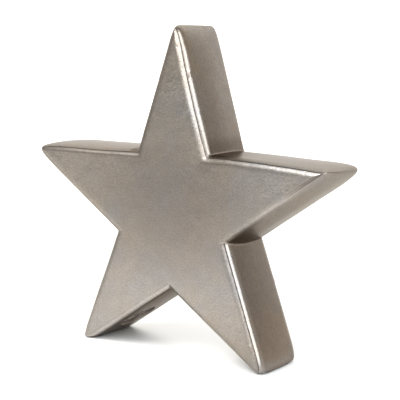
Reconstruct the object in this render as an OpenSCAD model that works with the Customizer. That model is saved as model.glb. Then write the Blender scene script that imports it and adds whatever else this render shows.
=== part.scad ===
// Free-standing five-pointed star, hollow, cast as a front and a rear half shell
// that meet at mid-depth. It stands on the flattened ends of its two legs, and a
// cork stopper closes the casting hole in the underside of the left leg.
// +X is to the right of the star's front, -Y is the front, +Z is up. The origin is
// on the ground, midway across the width and the depth.

/* [Star outline] */
// Centre of the star above the ground
centre_height = 70.6; // [66:0.1:76]
// Centre to the sharp end of the top arm, before the end is rounded
top_reach = 98; // [92:0.5:104]
// Centre to the sharp end of each side arm
side_reach = 95.6; // [90:0.1:102]
// Centre to the sharp end of each leg
leg_reach = 97.8; // [94:0.1:100]
// Centre to the notch on each side of the top arm
top_notch_reach = 36.5; // [33:0.1:40]
// Centre to the notch under each side arm
side_notch_reach = 35.6; // [33:0.1:40]
// Centre to the notch between the legs
leg_notch_reach = 38.3; // [35:0.1:41]
// Turn of a side arm from the top arm, in degrees
side_turn = 72.9; // [70:0.1:75]
// Turn of a leg from the top arm, in degrees
leg_turn = 143.7; // [142:0.1:146]
// Lean to the left that the hand-flattened feet leave in the star, in degrees
stance_lean = 1.2; // [0:0.1:2]

/* [Depth] */
// Thickness from the front face to the rear face
depth = 37.2; // [34:0.2:42]
// How far the side walls swell out from the faces to mid-depth
crown = 1.1; // [0.4:0.1:2]
// Radius of the rounded edge around each face
edge_radius = 2.8; // [2:0.1:4]
// How far the rounding cuts back the sharp end of an arm
tip_trim = 8.6; // [7:0.1:10]

/* [Shell] */
// Thickness of the cast wall
wall = 4.2; // [3.5:0.1:5]
// Radius of the bead of slip that seals the seam inside
bead_radius = 1.4; // [1:0.1:2]

/* [Casting hole] */
// Radius of the hole in the underside of the left leg
hole_radius = 9.4; // [8:0.1:10]
// Distance of the hole along that wall from the leg's sharp end
hole_along = 36.3; // [34:0.1:40]
// Depth position of the hole, negative towards the front
hole_y = -2.8; // [-3:0.1:0]
// Radial clearance of the stopper in the hole
stopper_clearance = 0.05; // [0.02:0.01:0.1]
// Length of the stopper
stopper_length = 7.2; // [6:0.1:8]
// How deep the stopper's end sits below the wall
stopper_recess = 0.8; // [0.5:0.1:1.5]

/* [Feet] */
// Thickness of the felt under each foot
pad_thickness = 0.8; // [0.5:0.1:1]
// Width of each felt strip
pad_width = 4.4; // [3:0.1:5]
// Length of each felt strip, front to back
pad_length = 23; // [16:1:26]

/* [Hidden] */

half_depth = depth / 2;
top_notch_turn = 36;
side_notch_turn = 111.45;
tip_growth = 1.4;      // extra cut-back of an arm's end for each unit of inset
tip_weight = 1.9;      // fullness of the curve that rounds an arm's end
tip_least = 2.5;       // least length of that curve's legs
tip_steps = 8;
crown_steps = 5;
edge_steps = 6;
cavity_corner = 2.5;
spare = 1;             // overshoot of the cutting shapes

// Corners from the top arm down one side, as [reach, turn from the top]
half_corners = [
    [top_reach, 0],
    [top_notch_reach, top_notch_turn],
    [side_reach, side_turn],
    [side_notch_reach, side_notch_turn],
    [leg_reach, leg_turn],
    [leg_notch_reach, 180]
];
function polar(reach, turn) = reach * [sin(turn - stance_lean), cos(turn - stance_lean)];
// All ten corners, anticlockwise seen from the front; even ones are the points
corners = concat(
    [for (c = half_corners) polar(c[0], -c[1])],
    [for (i = [4 : -1 : 1]) polar(half_corners[i][0], half_corners[i][1])]
);
left_leg = 4;
right_leg = 6;

function corner(k) = corners[(k + 10) % 10];
function unit(v) = v / norm(v);
function wall_along(k) = unit(corner(k + 1) - corner(k));
function wall_normal(k) = [wall_along(k)[1], -wall_along(k)[0]];
function bisector(k) = unit(wall_normal(k - 1) + wall_normal(k));
function half_angle_sine(k) = bisector(k) * wall_normal(k);
function inset_corner(k, inset) = corner(k) - bisector(k) * inset / half_angle_sine(k);

// A rounded point: a conic curve that leaves both walls tangentially
function conic(a, b, c, t) =
    let (wa = (1 - t) * (1 - t), wb = 2 * t * (1 - t) * tip_weight, wc = t * t)
    (a * wa + b * wb + c * wc) / (wa + wb + wc);
function tip_curve(k, inset) =
    let (
        sine = half_angle_sine(k),
        sharp = inset_corner(k, inset),
        cut_back = tip_trim + tip_growth * inset - inset / sine,
        leg = max(cut_back * (1 + tip_weight) / sqrt(1 - sine * sine), tip_least)
    )
    [for (i = [0 : tip_steps])
        conic(sharp - wall_along(k - 1) * leg, sharp, sharp + wall_along(k) * leg, i / tip_steps)];
function outline(inset) =
    [for (k = [0 : 9]) each (k % 2 == 0 ? tip_curve(k, inset) : [inset_corner(k, inset)])];

// The widest outline sets the sideways shift that centres the star on the origin
widest_x = [for (p = outline(0)) p[0]];
centre_x = -(min(widest_x) + max(widest_x)) / 2;

// Inset of the side wall at a depth y, and where the edge rounding takes over
function swell(y) = crown * (y / half_depth) * (y / half_depth);
edge_slope = atan(2 * crown / half_depth);
edge_start = half_depth - edge_radius + edge_radius * sin(edge_slope);
face_inset = swell(edge_start) + edge_radius * cos(edge_slope);
function edge_point(turn) =
    [half_depth - edge_radius + edge_radius * sin(turn), face_inset - edge_radius * cos(turn)];

// Half profiles from mid-depth to a face, as [distance from mid-depth, inset]
outer_profile = concat(
    [for (i = [0 : crown_steps - 1]) let (y = edge_start * i / crown_steps) [y, swell(y)]],
    [for (i = [0 : edge_steps]) edge_point(edge_slope + (90 - edge_slope) * i / edge_steps)]
);
cavity_end = half_depth - wall;
cavity_side = cavity_end - cavity_corner;
cavity_profile = [
    [0, wall],
    [bead_radius, wall + swell(bead_radius)],
    [cavity_side / 2, wall + swell(cavity_side / 2)],
    [cavity_side, wall + swell(cavity_side)],
    [cavity_side + cavity_corner * sin(45), wall + swell(cavity_side) + cavity_corner * (1 - cos(45))],
    [cavity_end, wall + swell(cavity_side) + cavity_corner]
];

// Triangles between each outline in a row and the next, all of count points
function band(count, a, b) =
    [for (i = [0 : count - 1]) let (n = (i + 1) % count)
        each [[a + i, a + n, b + n], [a + i, b + n, b + i]]];
function ring(step) =
    [for (p = outline(step[1])) [p[0] + centre_x, step[0], p[1] + centre_height]];

// Solid through a row of outlines; each step is [y, inset]. Its two ends are fans about
// the star's centre. A row that folds back on itself makes a shell with an open side.
module loft(steps) {
    rings = [for (s = steps) ring(s)];
    count = len(rings[0]);
    last = (len(steps) - 1) * count;
    ends = [for (s = [steps[0], steps[len(steps) - 1]]) [centre_x, s[0], centre_height]];
    front_fan = [for (i = [0 : count - 1]) [last + count, (i + 1) % count, i]];
    rear_fan = [for (i = [0 : count - 1]) [last + count + 1, last + i, last + (i + 1) % count]];
    sides = [for (j = [0 : len(steps) - 2]) each band(count, j * count, (j + 1) * count)];
    polyhedron(points = concat([for (r = rings) each r], ends),
               faces = concat(front_fan, sides, rear_fan));
}

// Solid ring through a closed loop of outlines
module loop_loft(steps) {
    rings = [for (s = steps) ring(s)];
    count = len(rings[0]);
    total = len(steps);
    polyhedron(points = [for (r = rings) each r],
               faces = [for (j = [0 : total - 1]) each band(count, j * count, (j + 1) % total * count)]);
}

function reversed(list) = [for (i = [len(list) - 1 : -1 : 0]) list[i]];
function mirrored(profile) = [for (s = profile) [-s[0], s[1]]];

// The casting hole: its axis leaves the wall under the left leg at a right angle
hole_normal = wall_normal(left_leg);
hole_point = corner(left_leg) + wall_along(left_leg) * hole_along;
hole_turn = atan2(hole_normal[0], hole_normal[1]);
module at_hole() {
    translate([hole_point[0] + centre_x, hole_y, hole_point[1] + centre_height])
        rotate([0, hole_turn, 0])
            children();
}
module hole_cutter(radius) {
    at_hole()
        translate([0, 0, -wall - 3 * spare])
            cylinder(r = radius, h = wall + 6 * spare, $fn = 96);
}

// Everything below the flattened feet
module below_feet() {
    translate([-top_reach, -depth, pad_thickness - top_reach])
        cube([2 * top_reach, 2 * depth, top_reach]);
}

module front_shell() {
    color("#9b948c")
    difference() {
        loft(concat(reversed(mirrored(outer_profile)), mirrored(cavity_profile)));
        hole_cutter(hole_radius);
        below_feet();
    }
}

module rear_shell() {
    color("#948d84")
    difference() {
        loft(concat(reversed(cavity_profile), outer_profile));
        hole_cutter(hole_radius);
        below_feet();
    }
}

// Bead of slip along the inside of the seam, broken where the hole passes
module seam_bead() {
    inside = wall + bead_radius;
    color("#a07c5c")
    difference() {
        loop_loft([
            [-bead_radius, wall + swell(bead_radius)],
            [0, wall],
            [bead_radius, wall + swell(bead_radius)],
            [bead_radius, inside],
            [-bead_radius, inside]
        ]);
        hole_cutter(hole_radius + spare);
    }
}

// Short cork with eased ends, a running fit in the hole
module cork_stopper() {
    radius = hole_radius - stopper_clearance;
    outer_ease = 0.6;
    inner_ease = 1.2;
    inner_end = -stopper_recess - stopper_length;
    color("#8d6b49")
    at_hole()
        rotate_extrude($fn = 96)
            polygon([
                [0, inner_end],
                [radius - inner_ease, inner_end],
                [radius, inner_end + inner_ease],
                [radius, -stopper_recess - outer_ease],
                [radius - outer_ease, -stopper_recess],
                [0, -stopper_recess]
            ]);
}

// Where the ground line crosses the two walls of a leg at mid-depth
function ground_hit(p, q) =
    p[0] + (q[0] - p[0]) * (pad_thickness - centre_height - p[1]) / (q[1] - p[1]);
function foot_hits(k) =
    let (tip = tip_curve(k, 0), level = pad_thickness - centre_height)
    [for (i = [0 : tip_steps - 1])
        if ((tip[i][1] - level) * (tip[i + 1][1] - level) < 0) ground_hit(tip[i], tip[i + 1])];
function foot_x(k) = (min(foot_hits(k)) + max(foot_hits(k))) / 2 + centre_x;

// Strip of felt with round ends under the flat of a foot
module foot_pad(k) {
    straight = pad_length - pad_width;
    color("#2b2927")
    translate([foot_x(k), 0, 0])
        linear_extrude(pad_thickness)
            union() {
                square([pad_width, straight], center = true);
                for (side = [-1, 1])
                    translate([0, side * straight / 2])
                        circle(d = pad_width, $fn = 48);
            }
}
module left_foot_pad() { foot_pad(left_leg); }
module right_foot_pad() { foot_pad(right_leg); }

front_shell();
rear_shell();
seam_bead();
cork_stopper();
left_foot_pad();
right_foot_pad();
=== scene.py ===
"""Looks of the hollow glazed star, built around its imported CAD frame.

The star stands with its front towards -Y. Its two glazed shells, the slip bead inside, the cork
and the felt strips are rebuilt here at full detail from the same driving dimensions as the CAD.
"""

import math

import bpy
import numpy as np
from mathutils import Matrix, Vector, noise


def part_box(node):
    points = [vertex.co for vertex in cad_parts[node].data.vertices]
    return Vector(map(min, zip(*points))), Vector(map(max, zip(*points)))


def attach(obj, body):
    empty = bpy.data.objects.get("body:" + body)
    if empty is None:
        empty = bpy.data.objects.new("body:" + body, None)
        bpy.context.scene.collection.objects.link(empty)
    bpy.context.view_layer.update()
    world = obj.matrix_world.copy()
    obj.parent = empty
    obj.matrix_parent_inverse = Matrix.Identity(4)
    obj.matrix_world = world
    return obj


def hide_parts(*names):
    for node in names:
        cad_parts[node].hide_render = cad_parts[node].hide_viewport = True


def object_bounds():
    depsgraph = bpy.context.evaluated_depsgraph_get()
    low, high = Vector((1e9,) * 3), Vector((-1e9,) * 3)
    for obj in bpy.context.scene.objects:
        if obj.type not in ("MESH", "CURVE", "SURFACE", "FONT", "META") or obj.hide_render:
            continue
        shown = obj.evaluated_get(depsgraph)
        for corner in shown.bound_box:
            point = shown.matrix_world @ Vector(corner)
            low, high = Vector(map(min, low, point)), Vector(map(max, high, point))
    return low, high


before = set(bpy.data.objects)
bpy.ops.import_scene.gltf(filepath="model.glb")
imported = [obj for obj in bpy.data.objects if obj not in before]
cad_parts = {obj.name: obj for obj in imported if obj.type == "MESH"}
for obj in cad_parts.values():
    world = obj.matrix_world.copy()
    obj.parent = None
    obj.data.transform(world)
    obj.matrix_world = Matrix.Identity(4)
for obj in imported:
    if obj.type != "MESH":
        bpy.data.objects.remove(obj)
CAD_LOW, CAD_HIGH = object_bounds()

# Outline of the star, in metres: (reach from the centre, turn from the top arm in degrees)
HALF_CORNERS = (
    (0.0980, 0.0),
    (0.0365, 36.0),
    (0.0956, 72.9),
    (0.0356, 111.45),
    (0.0978, 143.7),
    (0.0383, 180.0),
)
STANCE_LEAN = 1.2
CENTRE_HEIGHT = 0.0706
HALF_DEPTH = (CAD_HIGH.y - CAD_LOW.y) / 2
# How far the walls lie further in at the faces than at mid-depth
CROWN = 0.0011
# The soft edge between wall and face: its extent on each, and how full its curve is (2 is round)
EDGE_ON_WALL = 0.0058
EDGE_ON_FACE = 0.0048
EDGE_FULLNESS = 2.8
# The curve that rounds an arm's end: cut-back, more of it for each unit of inset, fullness and
# least length of its legs; and how much of the crown the top arm's end is spared
TIP_TRIM = 0.0086
TIP_GROWTH = 1.4
TIP_WEIGHT = 1.9
TIP_LEAST = 0.0025
FLAT_END = 0.85
NOTCH_FILLET = 0.0010
WALL = 0.0042
CAVITY_CORNER = 0.0025
# Hand-made unevenness of the front edge, wall by wall: how much further in it lies than the rear
# edge at the wall's start, middle and end, and how much wider its soft edge is at start and end
FRONT_RECESS = {
    1: (0.0003, 0.0004, 0.0002),
    7: (0.0019, 0.0030, 0.0033),
    8: (0.0004, -0.0008, -0.0006),
    9: (0.0003, 0.0008, 0.0),
}
FRONT_WIDENING = {
    1: (-0.0016, -0.0016),
    4: (-0.0014, -0.0014),
    7: (-0.0030, -0.0030),
    9: (0.0014, 0.0),
}
# How far the faces fall away towards their edges, wall by wall, and over what distance
FACE_FALL = {0: 0.00040, 1: 0.00016, 3: 0.00030, 6: 0.00030, 8: 0.00030, 9: 0.00034}
LEAST_FACE_FALL = 0.00006
FACE_FALL_REACH = 0.0065
# Painted shade in the notches, under the legs and near the feet, a brown darkening of the glaze:
# (corner, the wall it lies on, how far it reaches, depth)
CORNER_PAINTED_SHADE = (
    (7, 7, 0.021, 0.82),
    (7, 6, 0.200, 0.40),
    (9, 8, 0.024, 1.0),
    (9, 9, 0.012, 0.5),
    (5, 4, 0.062, 1.0),
    (1, 1, 0.006, 0.9),
    (3, 2, 0.016, 0.9),
    (4, 4, 0.050, 0.7),
    (6, 6, 0.060, 0.15),
)
# Painted highlights along the soft edges, or painted shade below zero: (wall, corner it starts from,
# reach, depths where it starts and is full, depths where it fades and ends, strength)
PAINTED_EDGE_LIGHT = (
    (4, 5, 0.110, (0.0001, 0.0008), (0.0014, 0.0032), 1.1),
    (1, 1, 0.060, (0.0002, 0.0005), (0.0009, 0.0014), 0.7),
    (7, 7, 0.062, (0.0001, 0.0008), (0.0014, 0.0032), 0.8),
    (8, 8, 0.060, (0.0001, 0.0005), (0.0009, 0.0016), 0.5),
    (6, 7, 0.300, (0.0012, 0.0020), (0.0036, 0.0056), 0.45),
    (8, 8, 0.010, (0.0010, 0.0018), (0.0040, 0.0070), 1.3),
    (7, 8, 0.042, (0.0001, 0.0004), (0.0012, 0.0018), -0.55),
    (9, 9, 0.300, (0.0001, 0.0005), (0.0030, 0.0045), 0.25),
)
# Small knocks in the edges: (wall, share along it, y of its centre, radius, sink)
KNOCKS = (
    (9, 0.545, -0.0166, 0.0008, 0.00030),
    (9, 0.560, -0.0172, 0.0006, -0.00012),
    (7, 0.52, -0.0172, 0.0030, 0.00022),
    (7, 0.38, -0.0168, 0.0026, -0.00012),
    (8, 0.86, -0.0175, 0.0022, 0.00010),
    (0, 0.55, 0.0170, 0.0016, 0.00012),
    (6, 0.70, 0.0172, 0.0020, 0.00014),
)
BEAD_RADIUS = 0.0014
FOOT_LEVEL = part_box("left_foot_pad")[1].z
LEFT_LEG = 4

# Casting hole and its cork
HOLE_RADIUS = 0.0094
HOLE_ALONG = 0.0363
HOLE_Y = -0.0028
LIP_RADIUS = 0.0009
CORK_RADIUS = 0.00935
CORK_LENGTH = 0.0072
CORK_RECESS = 0.0008

# Mesh density
TIP_STEPS = 20
NOTCH_STEPS = 4
WALL_STEPS = 60
CROWN_STEPS = 14
EDGE_STEPS = 30
FACE_STEPS = 34


# ---------------------------------------------------------------- outline

def polar(reach, turn):
    angle = math.radians(turn - STANCE_LEAN)
    return np.array((reach * math.sin(angle), reach * math.cos(angle)))


CORNERS = [polar(r, -t) for r, t in HALF_CORNERS] + [polar(r, t) for r, t in HALF_CORNERS[4:0:-1]]


def unit(v):
    return v / np.linalg.norm(v)


def corner(k):
    return CORNERS[k % 10]


def wall_along(k):
    return unit(corner(k + 1) - corner(k))


def wall_normal(k):
    along = wall_along(k)
    return np.array((along[1], -along[0]))


def conic(a, b, c, weight, steps):
    """Points of a conic curve from a to c whose tangents meet at b."""
    t = np.linspace(0, 1, steps + 1)[:, None]
    wa, wb, wc = (1 - t) ** 2, 2 * t * (1 - t) * weight, t ** 2
    return (a * wa + b * wb + c * wc) / (wa + wb + wc)


def corner_curve(k, before, after, inset, y):
    """The rounded corner k of an outline at depth y, with the insets of the walls before and after."""
    normals = np.array((wall_normal(k - 1), wall_normal(k)))
    sharp = corner(k) - np.linalg.solve(normals, (before, after))
    sine = unit(normals[0] + normals[1]) @ normals[1]
    if k % 2:
        leg, weight, steps = NOTCH_FILLET, 1.0, NOTCH_STEPS
    else:
        growth = TIP_GROWTH * (inset - swell(y) * (FLAT_END if k == 0 else 0))
        cut_back = TIP_TRIM + growth - (before + after) / 2 / sine
        leg = max(cut_back * (1 + TIP_WEIGHT) / math.sqrt(1 - sine * sine), TIP_LEAST)
        weight, steps = TIP_WEIGHT, TIP_STEPS
    return conic(sharp - wall_along(k - 1) * leg, sharp, sharp + wall_along(k) * leg, weight, steps)


def swell(y):
    return CROWN * (y / HALF_DEPTH) ** 2


def outline(inset, y=0.0, edge_share=0.0):
    """All the points of one outline, anticlockwise seen from the front, about the star's centre."""
    forward = (min(y, 0.0) / HALF_DEPTH) ** 2
    starts, bows, ends = [], [], []
    for k in range(10):
        start, middle, end = FRONT_RECESS.get(k, (0, 0, 0))
        wider = FRONT_WIDENING.get(k, (0, 0))
        starts.append(inset + forward * (start + edge_share * wider[0]))
        ends.append(inset + forward * (end + edge_share * wider[1]))
        bows.append(forward * (middle - (start + end) / 2))
    curves = [corner_curve(k, ends[k - 1], starts[k], inset, y) for k in range(10)]
    share = np.arange(1, WALL_STEPS)[:, None] / WALL_STEPS
    points = []
    for k, curve in enumerate(curves):
        straight = curve[-1] + (curves[(k + 1) % 10][0] - curve[-1]) * share
        points += [curve, straight - wall_normal(k) * bows[k] * 4 * share * (1 - share)]
    return np.vstack(points)


WIDEST = outline(0.0)
CENTRE_X = -(WIDEST[:, 0].min() + WIDEST[:, 0].max()) / 2


def ring(y, inset, edge_share=0.0):
    """One outline as points in the frame."""
    flat = outline(inset, y, edge_share)
    return np.column_stack((flat[:, 0] + CENTRE_X, np.full(len(flat), y), flat[:, 1] + CENTRE_HEIGHT))


def shrunk(points, share):
    """A ring drawn towards the star's centre, keeping its depth."""
    centre = np.array((CENTRE_X, points[0, 1], CENTRE_HEIGHT))
    return centre + (points - centre) * share


# ---------------------------------------------------------------- shells

def edge_profile():
    """(depth, share of the edge on the face, way past the crest) round one soft edge.

    It runs from the wall to a face at +HALF_DEPTH, with its points closer together where it turns.
    """
    t = np.linspace(0, math.pi / 2, 800)
    y = HALF_DEPTH - EDGE_ON_WALL * (1 - np.sin(t) ** (2 / EDGE_FULLNESS))
    share = 1 - np.cos(t) ** (2 / EDGE_FULLNESS)
    inset = swell(y) + EDGE_ON_FACE * share
    steps = np.diff(np.column_stack((y, inset)), axis=0)
    length = np.linalg.norm(steps, axis=1)
    heading = np.arctan2(steps[:, 1], steps[:, 0])
    turning = np.abs(np.gradient(heading))
    way = np.concatenate(([0], np.cumsum(length)))
    way -= way[np.argmin(np.abs(heading - math.pi / 4))]
    pace = np.concatenate(([0], np.cumsum(length / length.sum() + turning / turning.sum())))
    at = np.linspace(0, pace[-1], EDGE_STEPS + 1)
    return np.column_stack([np.interp(at, pace, v) for v in (y, share, way)])


def outer_half(side):
    """Rings of one half of the outside, from mid-depth to the face at side (-1 front, 1 rear).

    With them goes how far each ring lies past the crest of the edge.
    """
    edge = edge_profile()
    wall = np.linspace(0, edge[0][0], CROWN_STEPS, endpoint=False)
    rings = [ring(side * y, swell(y)) for y in wall]
    rings += [ring(side * y, swell(y) + EDGE_ON_FACE * share, share) for y, share, _ in edge]
    last = rings[-1]
    face = np.linspace(1, 0, FACE_STEPS + 1)[1:-1]
    rings += [shrunk(last, share) for share in face]
    wall_ways = wall - edge[0][0] + edge[0][2]
    face_ways = np.full(len(face), edge[-1][2] + 0.001)
    ways = np.concatenate((wall_ways, edge[:, 2], face_ways))
    return rings, ways


def cavity_half():
    """Rings of one half of the cavity, from mid-depth to its end wall, for an end at +Y."""
    end = HALF_DEPTH - WALL
    side = end - CAVITY_CORNER
    rings = [ring(y, WALL + swell(y)) for y in (0, BEAD_RADIUS, side / 3, side * 2 / 3, side)]
    for turn in (math.pi / 8, math.pi / 4, math.pi * 3 / 8, math.pi / 2):
        y = side + CAVITY_CORNER * math.sin(turn)
        rings.append(ring(y, WALL + swell(side) + CAVITY_CORNER * (1 - math.cos(turn))))
    last = rings[-1]
    return rings + [shrunk(last, share) for share in (0.75, 0.5, 0.25)]


def mirrored(rings):
    return [r * np.array((1, -1, 1)) for r in rings]


def grid_normals(grid):
    """Outward unit normals of a closed grid of rings that run from the front face to the rear."""
    along = np.roll(grid, -1, axis=1) - np.roll(grid, 1, axis=1)
    across = np.gradient(grid, axis=0)
    normals = np.cross(along, across)
    return normals / np.maximum(np.linalg.norm(normals, axis=2, keepdims=True), 1e-12)


def undulation(p):
    """Height of the slow waves that hand finishing and the glaze leave, at point p."""
    slow = noise.noise(Vector(p) * 38.0 + Vector((3.1, 0.7, 5.2)))
    quick = noise.noise(Vector(p) * 130.0 + Vector((9.4, 2.2, 0.3)))
    return 0.00016 * slow + 0.00005 * quick


def smoothstep(value, low, high):
    t = np.clip((value - low) / (high - low), 0, 1)
    return t * t * (3 - 2 * t)


def painted_crest_line():
    """How strongly the painted dark reflection line shows over the crest at each point of the outline: 0
    along the undersides.
    """
    along = np.roll(WIDEST, -1, axis=0) - np.roll(WIDEST, 1, axis=0)
    faces_up = -along[:, 0] / np.linalg.norm(along, axis=1)
    near_arm_end = smoothstep(np.abs(WIDEST[:, 0]), 0.052, 0.070) * (WIDEST[:, 1] > 0)
    return np.maximum(smoothstep(faces_up, -0.7, -0.2), near_arm_end)


def point_walls():
    """The wall that each point of an outline lies on."""
    walls = []
    for k in range(10):
        steps = NOTCH_STEPS if k % 2 else TIP_STEPS
        walls += [(k - 1) % 10] * (steps // 2) + [k] * (steps + 1 - steps // 2 + WALL_STEPS - 1)
    return np.array(walls)


def corner_gap(grid, k):
    """How far each point is from corner k, seen from the front."""
    return np.linalg.norm(grid[:, :, (0, 2)] - corner(k) - (CENTRE_X, CENTRE_HEIGHT), axis=2)


def paint_shade_and_highlight(grid):
    """How much the glaze is darkened at each point: painted shade, most in the notches and under the
    legs, and a little darker towards the middle of the faces.

    It is below zero where a highlight is painted along the edges.
    """
    dark = np.zeros(grid.shape[:2])
    on_side = smoothstep(HALF_DEPTH - np.abs(grid[:, :, 1]), 0.0010, 0.0036)
    for k, wall, far, most in CORNER_PAINTED_SHADE:
        gap = corner_gap(grid, k)
        depth = most * (1 - smoothstep(gap, 0.003, far)) * on_side
        dark = np.where(point_walls() == wall, np.maximum(dark, depth), dark)
    # A little darker towards the middle of the faces
    away = grid[:, :, (0, 2)] - (CENTRE_X + 0.004, CENTRE_HEIGHT + 0.006)
    reach = np.linalg.norm(away * (0.8, 1.0), axis=2)
    dark = np.maximum(dark, 0.36 * (1 - smoothstep(reach, 0.006, 0.058)))
    return dark - paint_edge_light(grid)


def paint_edge_light(grid):
    """How much painted highlight lies along the soft edges of a few walls, painted shade if below zero.
    """
    bright = np.zeros(grid.shape[:2])
    depth = HALF_DEPTH - np.abs(grid[:, :, 1])
    for wall, k, far, start, finish, most in PAINTED_EDGE_LIGHT:
        gap = corner_gap(grid, k)
        band = smoothstep(depth, *start) * (1 - smoothstep(depth, *finish))
        band *= most * (1 - smoothstep(gap, far * 0.5, far))
        bright += np.where(point_walls() == wall, band, 0)
    return bright


def knocks(grid):
    """Depth of the few small knocks along the edges."""
    depth = np.zeros(grid.shape[:2])
    for wall, share, y, radius, sink in KNOCKS:
        flat = corner(wall) + (corner(wall + 1) - corner(wall)) * share
        aim = (flat[0] + CENTRE_X, y, flat[1] + CENTRE_HEIGHT)
        nearest = np.argmin(np.linalg.norm(grid - aim, axis=2))
        gap = np.linalg.norm(grid - grid.reshape(-1, 3)[nearest], axis=2)
        depth += sink * np.exp(-((gap / radius) ** 2))
    return depth


def face_fall(grid):
    """How far each point of the two faces has fallen away, most beside the edges."""
    flat = grid[:, :, (0, 2)] - (CENTRE_X, CENTRE_HEIGHT)
    fall = np.zeros(grid.shape[:2])
    for k in range(10):
        start, span = corner(k), corner(k + 1) - corner(k)
        share = np.clip((flat - start) @ span / (span @ span), 0, 1)
        gap = np.linalg.norm(flat - start - share[:, :, None] * span, axis=2)
        fall += FACE_FALL.get(k, LEAST_FACE_FALL) * np.exp(-gap / FACE_FALL_REACH)
    return fall * smoothstep(np.abs(grid[:, :, 1]), HALF_DEPTH - EDGE_ON_WALL, HALF_DEPTH)


def worked(grid):
    """The outside with its slow waves, its knocks, its fallen edges and its flattened feet."""
    grid[:, :, 1] -= np.sign(grid[:, :, 1]) * face_fall(grid)
    waves = np.array([[undulation(p) for p in row] for row in grid]) - knocks(grid)
    grid = grid + grid_normals(grid) * waves[:, :, None]
    low = grid[:, :, 2] - FOOT_LEVEL
    soft = 0.0004
    lifted = (low + np.sqrt(low * low + soft * soft)) / 2
    grid[:, :, 2] = FOOT_LEVEL + lifted - soft / 2 * np.exp(-np.abs(low) / soft)
    return grid


def add_field(mesh, name, values):
    field = mesh.attributes.new(name, "FLOAT", "POINT")
    field.data.foreach_set("value", np.asarray(values, np.float32))


def mesh_from_rings(name, rings, split):
    """A closed mesh through the rings, with a fan at each end. Faces from ring split on are clay."""
    count = len(rings[0])
    points = np.vstack(list(rings) + [rings[0].mean(axis=0), rings[-1].mean(axis=0)])
    first_centre, last_centre = len(points) - 2, len(points) - 1
    around = [(i, (i + 1) % count) for i in range(count)]
    faces = [(first_centre, n, i) for i, n in around]
    for j in range(len(rings) - 1):
        a, b = j * count, (j + 1) * count
        faces += [(a + i, a + n, b + n, b + i) for i, n in around]
    last = (len(rings) - 1) * count
    faces += [(last_centre, last + i, last + n) for i, n in around]
    mesh = bpy.data.meshes.new(name)
    mesh.from_pydata(points.tolist(), [], faces)
    inner_from = count + (split - 1) * count
    index = np.zeros(len(faces), np.int32)
    index[inner_from:] = 1
    mesh.polygons.foreach_set("material_index", index)
    mesh.update()
    return mesh


def add_object(name, mesh, materials):
    obj = bpy.data.objects.new(name, mesh)
    bpy.context.scene.collection.objects.link(obj)
    for m in materials:
        mesh.materials.append(m)
    return obj


def smooth(mesh, angle):
    mesh.polygons.foreach_set("use_smooth", [True] * len(mesh.polygons))
    mesh.set_sharp_from_angle(angle=math.radians(angle))


# ---------------------------------------------------------------- casting hole

def hole_matrix():
    """Frame whose origin is where the hole's axis meets the wall, with +Z out of the wall."""
    out = wall_normal(LEFT_LEG)
    at = corner(LEFT_LEG) + wall_along(LEFT_LEG) * HOLE_ALONG
    z = Vector((out[0], 0, out[1]))
    x = Vector((0, 1, 0)).cross(z)
    turn = Matrix((x, Vector((0, 1, 0)), z)).transposed().to_4x4()
    return Matrix.Translation((at[0] + CENTRE_X, HOLE_Y, at[1] + CENTRE_HEIGHT)) @ turn


def lathe(name, profile, steps):
    """A closed solid of revolution about Z from (radius, height) points that start and end on Z."""
    angles = np.linspace(0, 2 * math.pi, steps, endpoint=False)
    inner = profile[1:-1]
    points = [(0, 0, profile[0][1]), (0, 0, profile[-1][1])]
    points += [(r * math.cos(a), r * math.sin(a), z) for r, z in inner for a in angles]
    faces = []
    for i in range(steps):
        n = (i + 1) % steps
        faces.append((0, 2 + n, 2 + i))
        for j in range(len(inner) - 1):
            a, b = 2 + j * steps, 2 + (j + 1) * steps
            faces.append((a + i, a + n, b + n, b + i))
        last = 2 + (len(inner) - 1) * steps
        faces.append((1, last + i, last + n))
    mesh = bpy.data.meshes.new(name)
    mesh.from_pydata(points, [], faces)
    mesh.update()
    return mesh


def hole_cutter():
    """Cutter of the casting hole: a bore with a mouth that flares to leave a rounded lip."""
    deep, high = -2.5 * WALL, 0.004
    flare = [(HOLE_RADIUS + LIP_RADIUS * (1 - math.cos(t)), -LIP_RADIUS + LIP_RADIUS * math.sin(t))
             for t in np.linspace(0, math.pi / 2, 8)]
    profile = [(0, deep), (HOLE_RADIUS, deep)] + flare + [(HOLE_RADIUS + LIP_RADIUS, high), (0, high)]
    mesh = lathe("hole_cutter", profile, 160)
    for p in mesh.polygons:
        p.material_index = 1 if p.center.z < -LIP_RADIUS else 0
    obj = add_object("hole_cutter", mesh, [])
    obj.matrix_world = hole_matrix()
    return obj


def cut(obj, cutter):
    """Subtracts cutter from obj's mesh for good."""
    modifier = obj.modifiers.new("hole", "BOOLEAN")
    modifier.operation = "DIFFERENCE"
    modifier.solver = "EXACT"
    modifier.object = cutter
    bpy.context.view_layer.update()
    result = bpy.data.meshes.new_from_object(obj.evaluated_get(bpy.context.evaluated_depsgraph_get()))
    obj.modifiers.clear()
    obj.data = result


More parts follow.
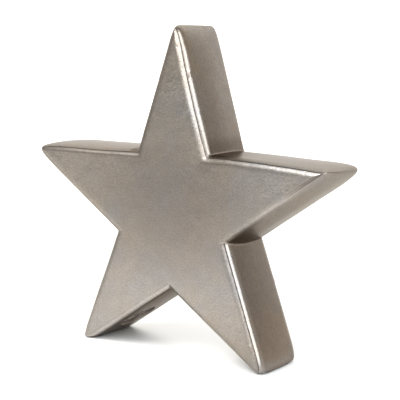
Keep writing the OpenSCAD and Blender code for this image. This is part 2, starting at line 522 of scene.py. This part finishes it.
def build_shells(glaze, clay):
    front, ways = outer_half(-1)
    rear, _ = outer_half(1)
    grid = worked(np.array(front[::-1] + rear[1:]))
    seam = len(front) - 1
    crest_line_weight = painted_crest_line()
    cavity = cavity_half()
    cutter = hole_cutter()
    bpy.context.view_layer.update()
    made = []
    for name, node, rings, split in (
        ("front_glazed_shell", "front_shell", list(grid[:seam + 1]) + mirrored(cavity), seam + 1),
        ("rear_glazed_shell", "rear_shell", list(grid[seam:][::-1]) + cavity, seam + 1),
    ):
        mesh = mesh_from_rings(name, rings, split)
        inside = len(mesh.vertices) - len(crest_line_weight) * len(front)
        add_field(mesh, "crest_way", np.concatenate((np.repeat(ways[::-1], len(crest_line_weight)), np.ones(inside))))
        # Painted shade and painted highlights, carried to the glaze colour as a point field
        painted_shade_and_highlight = paint_shade_and_highlight(np.array(rings[:len(front)]))
        inner_painted_shade = np.zeros(inside)
        inner_painted_shade[-2] = painted_shade_and_highlight[0].mean()
        add_field(mesh, "painted_shade_and_highlight", np.concatenate((painted_shade_and_highlight.ravel(), inner_painted_shade)))
        # Where the painted dark reflection line shows along the crests
        add_field(mesh, "painted_crest_line", np.concatenate((np.tile(crest_line_weight, len(front)), np.zeros(inside))))
        if node == "rear_shell":
            mesh.flip_normals()
        obj = add_object(name, mesh, [glaze, clay])
        cut(obj, cutter)
        smooth(obj.data, 38)
        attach(obj, "star")
        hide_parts(node)
        made.append(obj)
    bpy.data.objects.remove(cutter)
    return made


def build_bead(clay):
    """Half-round bead of slip along the inside of the seam."""
    rings = []
    for turn in np.linspace(-math.pi / 2, math.pi / 2, 9):
        rings.append(ring(BEAD_RADIUS * math.sin(turn), WALL + BEAD_RADIUS * math.cos(turn)))
    rings.append(ring(0, WALL - 0.0001))
    count = len(rings[0])
    points = np.vstack(rings)
    faces = []
    for j in range(len(rings)):
        a, b = j * count, (j + 1) % len(rings) * count
        faces += [(a + i, b + i, b + (i + 1) % count, a + (i + 1) % count) for i in range(count)]
    mesh = bpy.data.meshes.new("slip_bead")
    mesh.from_pydata(points.tolist(), [], faces)
    mesh.update()
    obj = add_object("slip_bead", mesh, [clay])
    radius, deep, high = HOLE_RADIUS + 0.001, -0.02, 0.01
    profile = [(0, deep), (radius, deep), (radius, high), (0, high)]
    cutter = add_object("bead_cutter", lathe("bead_cutter", profile, 96), [])
    cutter.matrix_world = hole_matrix()
    bpy.context.view_layer.update()
    cut(obj, cutter)
    bpy.data.objects.remove(cutter)
    smooth(obj.data, 50)
    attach(obj, "star")
    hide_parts("seam_bead")
    return obj


def build_cork(material):
    """Short cork with eased ends and a slightly crumbly outer face."""
    top, bottom = -CORK_RECESS, -CORK_RECESS - CORK_LENGTH
    ease_out, ease_in = 0.0006, 0.0012
    face = [(CORK_RADIUS - ease_out) * share for share in np.linspace(0, 1, 24)[1:]]
    straight = CORK_LENGTH - ease_out - ease_in
    side = [top - ease_out - straight * share for share in np.linspace(0, 1, 10)]
    profile = [(0, bottom), (CORK_RADIUS - ease_in, bottom)]
    profile += [(CORK_RADIUS, z) for z in reversed(side)]
    profile += [(r, top) for r in reversed(face)] + [(0, top)]
    mesh = lathe("cork", profile, 96)
    for v in mesh.vertices:
        grain = noise.noise(v.co * 900.0) + 0.6 * noise.noise(v.co * 2100.0)
        inward = 0.00012 * max(0.0, -grain)
        radius = math.hypot(v.co.x, v.co.y)
        if radius > 1e-6:
            v.co.x *= 1 - inward / max(radius, 0.001) * 0.5
            v.co.y *= 1 - inward / max(radius, 0.001) * 0.5
        v.co.z += inward if v.co.z < -CORK_RECESS - CORK_LENGTH / 2 else -inward
    smooth(mesh, 60)
    obj = add_object("cork", mesh, [material])
    obj.matrix_world = hole_matrix()
    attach(obj, "stopper")
    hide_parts("cork_stopper")
    return obj


def build_felt(node, name, material):
    """Felt strip with round ends and a soft, slightly uneven rim."""
    low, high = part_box(node)
    width, length = high.x - low.x, high.y - low.y
    thickness = high.z - low.z
    middle = (low + high) / 2
    radius = width / 2
    straight = length / 2 - radius
    ease = 0.0002
    rim = []
    for end, start in ((1, 0.0), (-1, math.pi)):
        for a in np.linspace(start, start + math.pi, 25):
            rim.append((math.cos(a), math.sin(a), end * straight))
    rings = []
    levels = [(ease * 2, 0), (ease * 0.6, ease * 0.2), (0, ease), (0, thickness - ease),
              (ease * 0.6, thickness - ease * 0.2), (ease * 2, thickness)]
    for inset, z in levels:
        rows = []
        for c, s, centre in rim:
            fuzz = 0.00012 * noise.noise(Vector((c * 9, s * 9 + centre * 900, z * 2500)))
            r = radius - inset - 0.0001 + min(fuzz, 0.0001)
            rows.append((middle.x + r * c, middle.y + centre + r * s, low.z + z))
        rings.append(np.array(rows))
    mesh = mesh_from_rings(name, rings, len(rings) + 5)
    smooth(mesh, 60)
    obj = add_object(name, mesh, [material])
    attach(obj, "star")
    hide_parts(node)
    return obj


# ---------------------------------------------------------------- materials

def new_material(name):
    material = bpy.data.materials.new(name)
    material.use_nodes = True
    tree = material.node_tree
    shader = tree.nodes["Principled BSDF"]
    place = tree.nodes.new("ShaderNodeTexCoord").outputs["Object"]
    return material, tree, shader, place


def noise_node(tree, place, scale, detail=2.0, roughness=0.5):
    node = tree.nodes.new("ShaderNodeTexNoise")
    node.inputs["Scale"].default_value = scale
    node.inputs["Detail"].default_value = detail
    node.inputs["Roughness"].default_value = roughness
    tree.links.new(place, node.inputs["Vector"])
    return node.outputs["Fac"]


def ramp(tree, factor, stops):
    node = tree.nodes.new("ShaderNodeValToRGB")
    elements = node.color_ramp.elements
    while len(elements) < len(stops):
        elements.new(0.5)
    for element, (position, colour) in zip(elements, stops):
        element.position = position
        element.color = (*colour, 1)
    tree.links.new(factor, node.inputs["Fac"])
    return node.outputs["Color"]


def mix(tree, kind, factor, a, b):
    node = tree.nodes.new("ShaderNodeMix")
    node.data_type = "RGBA"
    node.blend_type = kind
    for value, socket in ((factor, 0), (a, 6), (b, 7)):
        if hasattr(value, "links"):
            tree.links.new(value, node.inputs[socket])
        else:
            node.inputs[socket].default_value = value
    return node.outputs[2]


def remap(tree, value, low, high):
    node = tree.nodes.new("ShaderNodeMapRange")
    node.inputs["To Min"].default_value = low
    node.inputs["To Max"].default_value = high
    tree.links.new(value, node.inputs["Value"])
    return node.outputs["Result"]


def bump(tree, height, distance, strength, before=None):
    node = tree.nodes.new("ShaderNodeBump")
    node.inputs["Distance"].default_value = distance
    node.inputs["Strength"].default_value = strength
    tree.links.new(height, node.inputs["Height"])
    if before is not None:
        tree.links.new(before, node.inputs["Normal"])
    return node.outputs["Normal"]


def field(tree, name):
    node = tree.nodes.new("ShaderNodeAttribute")
    node.attribute_name = name
    return node.outputs["Fac"]


def calculate(tree, operation, a, b=None):
    node = tree.nodes.new("ShaderNodeMath")
    node.operation = operation
    for i, value in enumerate((a, b)):
        if value is None:
            continue
        if hasattr(value, "links"):
            tree.links.new(value, node.inputs[i])
        else:
            node.inputs[i].default_value = value
    return node.outputs["Value"]


def step(tree, value, start, end, at_start, at_end):
    """Smooth step of a value between start and end."""
    node = tree.nodes.new("ShaderNodeMapRange")
    node.interpolation_type = "SMOOTHSTEP"
    node.inputs["From Min"].default_value = start
    node.inputs["From Max"].default_value = end
    node.inputs["To Min"].default_value = at_start
    node.inputs["To Max"].default_value = at_end
    tree.links.new(value, node.inputs["Value"])
    return node.outputs["Result"]


def painted_crest_mask(tree, place):
    """Painted dark reflection: a fine line along the crest of the edges, broken by noise."""
    slow = calculate(tree, "SUBTRACT", noise_node(tree, place, 160.0), 0.5)
    wander = calculate(tree, "MULTIPLY", slow, 0.0003)
    way = calculate(tree, "ABSOLUTE", calculate(tree, "ADD", field(tree, "crest_way"), wander))
    line = step(tree, way, 0.00010, 0.00034, 1.0, 0.0)
    uneven = step(tree, noise_node(tree, place, 300.0, 3.0, 0.6), 0.30, 0.50, 0.75, 1.0)
    painted_line = calculate(tree, "MULTIPLY", line, field(tree, "painted_crest_line"))
    return calculate(tree, "MULTIPLY", painted_line, uneven)


def depth_from_seam(tree, place):
    split = tree.nodes.new("ShaderNodeSeparateXYZ")
    tree.links.new(place, split.inputs["Vector"])
    return calculate(tree, "ABSOLUTE", split.outputs["Y"])


def coarse_areas(tree, place):
    """Where the glaze is coarser: on the faces, in patches, more towards the arms' ends."""
    node = tree.nodes.new("ShaderNodeVectorMath")
    node.operation = "DISTANCE"
    node.inputs[1].default_value = (CENTRE_X, -HALF_DEPTH, CENTRE_HEIGHT)
    tree.links.new(place, node.inputs[0])
    outward = step(tree, node.outputs["Value"], 0.030, 0.075, 0.25, 1.0)
    patches = step(tree, noise_node(tree, place, 60.0, 2.0, 0.5), 0.40, 0.66, 0.40, 1.0)
    depth = depth_from_seam(tree, place)
    on_face = step(tree, depth, HALF_DEPTH - 0.0022, HALF_DEPTH - 0.0003, 0.15, 1.0)
    spread = calculate(tree, "MULTIPLY", outward, patches)
    return calculate(tree, "MULTIPLY", spread, on_face)


def wall_runs(tree, place):
    """Fine darker and lighter runs down the side walls, none on the faces."""
    stretch = tree.nodes.new("ShaderNodeVectorMath")
    stretch.operation = "MULTIPLY"
    stretch.inputs[1].default_value = (1.0, 1.0, 0.12)
    tree.links.new(place, stretch.inputs[0])
    runs = noise_node(tree, stretch.outputs["Vector"], 800.0, 3.0, 0.6)
    depth = depth_from_seam(tree, place)
    on_wall = step(tree, depth, HALF_DEPTH - 0.006, HALF_DEPTH - 0.003, 1.0, 0.0)
    shade = calculate(tree, "MULTIPLY", step(tree, runs, 0.34, 0.66, -0.06, 0.04), on_wall)
    return calculate(tree, "ADD", shade, 1.0)


def scaled(tree, colour, amount):
    """A colour made lighter or darker by a number."""
    node = tree.nodes.new("ShaderNodeVectorMath")
    node.operation = "SCALE"
    tree.links.new(colour, node.inputs[0])
    tree.links.new(amount, node.inputs["Scale"])
    return node.outputs["Vector"]


def glaze_material():
    """Satin pewter glaze: warm and cool drifts, fine grain, orange peel, painted shade, painted edge
    highlights and painted dark crest lines.
    """
    material, tree, shader, place = new_material("pewter_glaze")
    drift = noise_node(tree, place, 34.0, 4.0, 0.6)
    grain = noise_node(tree, place, 1400.0, 3.0, 0.65)
    cloud = noise_node(tree, place, 210.0, 3.0, 0.6)
    tone = ramp(tree, drift, [(0.38, (0.262, 0.243, 0.227)), (0.62, (0.284, 0.248, 0.210))])
    fleck = ramp(tree, grain, [(0.24, (0.70, 0.70, 0.70)), (0.76, (1.22, 1.22, 1.22))])
    patch = ramp(tree, cloud, [(0.30, (0.92, 0.92, 0.92)), (0.70, (1.02, 1.02, 1.02))])
    colour = mix(tree, "MULTIPLY", 1.0, mix(tree, "MULTIPLY", 1.0, tone, fleck), patch)
    colour = scaled(tree, colour, wall_runs(tree, place))
    painted_shade_and_highlight = field(tree, "painted_shade_and_highlight")
    # Painted shade: the glaze colour darkened to brown where the field is above zero
    colour = mix(tree, "MIX", painted_shade_and_highlight, colour, (0.068, 0.046, 0.031, 1))
    # Painted highlight: the glaze colour made lighter where the field is below zero
    colour = scaled(tree, colour, step(tree, painted_shade_and_highlight, -1.0, 0.0, 1.75, 1.0))
    # Painted dark reflection line along the crests of the edges
    colour = mix(tree, "MIX", painted_crest_mask(tree, place), colour, (0.07, 0.055, 0.045, 1))
    tree.links.new(colour, shader.inputs["Base Color"])
    shader.inputs["Metallic"].default_value = 1.0
    shader.inputs["Specular Tint"].default_value = (0.68, 0.64, 0.60, 1)
    tree.links.new(remap(tree, grain, 0.277, 0.30), shader.inputs["Roughness"])
    peel = noise_node(tree, place, 900.0, 2.0, 0.5)
    ripple = noise_node(tree, place, 360.0, 3.0, 0.6)
    rough = bump(tree, peel, 0.00004, 1.0)
    coarse = calculate(tree, "MULTIPLY", ripple, coarse_areas(tree, place))
    tree.links.new(bump(tree, coarse, 0.00032, 1.0, rough), shader.inputs["Normal"])
    return material


def clay_material():
    """Brown fired clay, unglazed, with dark and pale grit."""
    material, tree, shader, place = new_material("raw_clay")
    body = noise_node(tree, place, 260.0, 4.0, 0.6)
    grit = noise_node(tree, place, 1500.0, 2.0, 0.5)
    tone = ramp(tree, body, [(0.3, (0.30, 0.18, 0.11)), (0.7, (0.47, 0.31, 0.20))])
    speck = ramp(tree, grit, [(0.32, (0.45, 0.42, 0.40)), (0.45, (1.0, 1.0, 1.0))])
    tree.links.new(mix(tree, "MULTIPLY", 1.0, tone, speck), shader.inputs["Base Color"])
    shader.inputs["Roughness"].default_value = 0.85
    tree.links.new(bump(tree, grit, 0.0001, 0.8), shader.inputs["Normal"])
    return material


def cork_material():
    """Agglomerated cork: brown granules with dark joints and pale flecks."""
    material, tree, shader, place = new_material("cork_granules")
    cells = tree.nodes.new("ShaderNodeTexVoronoi")
    cells.inputs["Scale"].default_value = 700.0
    tree.links.new(place, cells.inputs["Vector"])
    edges = tree.nodes.new("ShaderNodeTexVoronoi")
    edges.feature = "DISTANCE_TO_EDGE"
    edges.inputs["Scale"].default_value = 700.0
    tree.links.new(place, edges.inputs["Vector"])
    pick = tree.nodes.new("ShaderNodeSeparateColor")
    tree.links.new(cells.outputs["Color"], pick.inputs["Color"])
    tone = ramp(tree, pick.outputs["Red"], [
        (0.0, (0.028, 0.019, 0.013)), (0.50, (0.075, 0.052, 0.037)),
        (0.84, (0.15, 0.110, 0.080)), (0.97, (0.50, 0.45, 0.38))])
    joint = ramp(tree, edges.outputs["Distance"], [(0.0, (0.25, 0.22, 0.2)), (0.12, (1.0, 1.0, 1.0))])
    tree.links.new(mix(tree, "MULTIPLY", 1.0, tone, joint), shader.inputs["Base Color"])
    shader.inputs["Roughness"].default_value = 0.8
    tree.links.new(bump(tree, edges.outputs["Distance"], 0.0002, 0.8), shader.inputs["Normal"])
    return material


def felt_material():
    """Black felt with a faint fibre tangle."""
    material, tree, shader, place = new_material("black_felt")
    fibre = noise_node(tree, place, 2400.0, 4.0, 0.7)
    tone = ramp(tree, fibre, [(0.3, (0.008, 0.008, 0.008)), (0.75, (0.035, 0.033, 0.031))])
    tree.links.new(tone, shader.inputs["Base Color"])
    shader.inputs["Roughness"].default_value = 0.95
    shader.inputs["Sheen Weight"].default_value = 0.3
    tree.links.new(bump(tree, fibre, 0.0002, 1.0), shader.inputs["Normal"])
    return material


# ---------------------------------------------------------------- studio

def build_floor():
    """Wide round pale floor."""
    radius, steps = 2.4, 96
    angles = np.linspace(0, 2 * math.pi, steps, endpoint=False)
    mesh = bpy.data.meshes.new("studio_floor")
    rim = [(radius * math.cos(a), radius * math.sin(a), 0) for a in angles]
    mesh.from_pydata(rim, [], [range(steps)])
    mesh.update()
    material, tree, shader, place = new_material("pale_floor")
    cloud = noise_node(tree, place, 6.0, 2.0)
    tone = ramp(tree, cloud, [(0.3, (0.62, 0.615, 0.605)), (0.7, (0.64, 0.635, 0.625))])
    tree.links.new(tone, shader.inputs["Base Color"])
    shader.inputs["Roughness"].default_value = 0.9
    shader.inputs["Specular IOR Level"].default_value = 0.2
    add_object("studio_floor", mesh, [material])


def add_panel(name, azimuth, elevation, distance, width, height, power,
              colour=(1.0, 0.98, 0.95), mirrored=True, aim=(0, 0, 0.08)):
    """A soft light panel. Azimuth 0 is in front of the star, positive to its right."""
    a, e = math.radians(azimuth), math.radians(elevation)
    back = Vector((math.sin(a) * math.cos(e), -math.cos(a) * math.cos(e), math.sin(e)))
    light = bpy.data.lights.new(name, "AREA")
    light.shape = "RECTANGLE"
    light.size, light.size_y = width, height
    light.energy = power
    light.color = colour
    obj = bpy.data.objects.new(name, light)
    bpy.context.scene.collection.objects.link(obj)
    obj.location = Vector(aim) + back * distance
    obj.rotation_mode = "QUATERNION"
    obj.rotation_quaternion = back.to_track_quat("Z", "Y")
    obj.visible_camera = False
    obj.visible_glossy = mirrored
    return obj


def build_world():
    """Pale surroundings, brightest behind the star, browner and dimmer to its right."""
    world = bpy.data.worlds.new("studio")
    bpy.context.scene.world = world
    world.use_nodes = True
    tree = world.node_tree
    background = tree.nodes["Background"]
    split = tree.nodes.new("ShaderNodeSeparateXYZ")
    place = tree.nodes.new("ShaderNodeTexCoord").outputs["Generated"]
    tree.links.new(place, split.inputs["Vector"])
    x, y, z = (split.outputs[axis] for axis in "XYZ")
    glow = step(tree, z, 0.15, 0.50, 0.95, 1.15)
    behind = calculate(tree, "MULTIPLY", step(tree, y, 0.0, 0.5, 0.0, 1.0), glow)
    side = step(tree, x, 0.28, 0.56, 0.0, 1.0)
    dimming = calculate(tree, "MULTIPLY", side, step(tree, z, 0.12, 0.32, 0.34, 0.62))
    level = calculate(tree, "ADD", behind, step(tree, z, 0.02, 0.25, 0.68, 0.60))
    rest = calculate(tree, "SUBTRACT", 1.0, dimming)
    strength = calculate(tree, "MULTIPLY", level, rest)
    tree.links.new(strength, background.inputs["Strength"])
    colour = ramp(tree, side, [(0.0, (1.0, 1.0, 0.985)), (1.0, (1.0, 0.90, 0.79))])
    tree.links.new(colour, background.inputs["Color"])


def build_lights():
    cool = (0.90, 0.95, 1.0)
    add_panel("front_panel", 20, 27, 1.5, 1.35, 1.0, 20, cool)
    add_panel("front_fill_panel", 6, 24, 1.6, 1.9, 0.75, 2.4)
    add_panel("front_left_panel", -42, 36, 1.6, 1.4, 1.25, 3.0)
    add_panel("front_high_panel", -18, 52, 1.6, 0.7, 1.3, 14, cool)
    add_panel("right_panel", 79, 24, 1.5, 0.85, 1.1, 15.5, cool)
    add_panel("near_floor_panel", 0, 89, 0.15, 0.12, 0.12, 0.38, mirrored=False, aim=(-0.05, -0.11, 0))
    add_panel("rear_floor_panel", -140, 65, 1.3, 1.7, 1.4, 64, mirrored=False, aim=(-0.75, 1.2, 0))


def build_camera():
    """Camera at the photographed angle: 32.4 degrees to the star's right and 8.9 above it."""
    azimuth, elevation, roll = math.radians(32.41), math.radians(8.86), math.radians(2.48)
    distance = 0.6049
    aim = Vector((CENTRE_X + 0.0053, 0, CENTRE_HEIGHT + 0.0049))
    back = Vector((math.sin(azimuth) * math.cos(elevation), -math.cos(azimuth) * math.cos(elevation),
                   math.sin(elevation)))
    data = bpy.data.cameras.new("camera")
    data.sensor_width = 36
    data.lens = 111.36
    camera = bpy.data.objects.new("camera", data)
    bpy.context.scene.collection.objects.link(camera)
    right = (-back).cross(Vector((0, 0, 1))).normalized()
    up = right.cross(-back)
    across = right * math.cos(roll) + up * math.sin(roll)
    upward = up * math.cos(roll) - right * math.sin(roll)
    turn = Matrix((across, upward, back)).transposed().to_4x4()
    camera.matrix_world = Matrix.Translation(aim + back * distance) @ turn
    data.clip_start, data.clip_end = 0.01, 50
    bpy.context.scene.camera = camera


bpy.context.scene.view_settings.view_transform = "Standard"
GLAZE, CLAY = glaze_material(), clay_material()
build_shells(GLAZE, CLAY)
build_bead(CLAY)
build_cork(cork_material())
FELT = felt_material()
build_felt("left_foot_pad", "left_felt_strip", FELT)
build_felt("right_foot_pad", "right_felt_strip", FELT)
build_floor()
build_world()
build_lights()
build_camera()
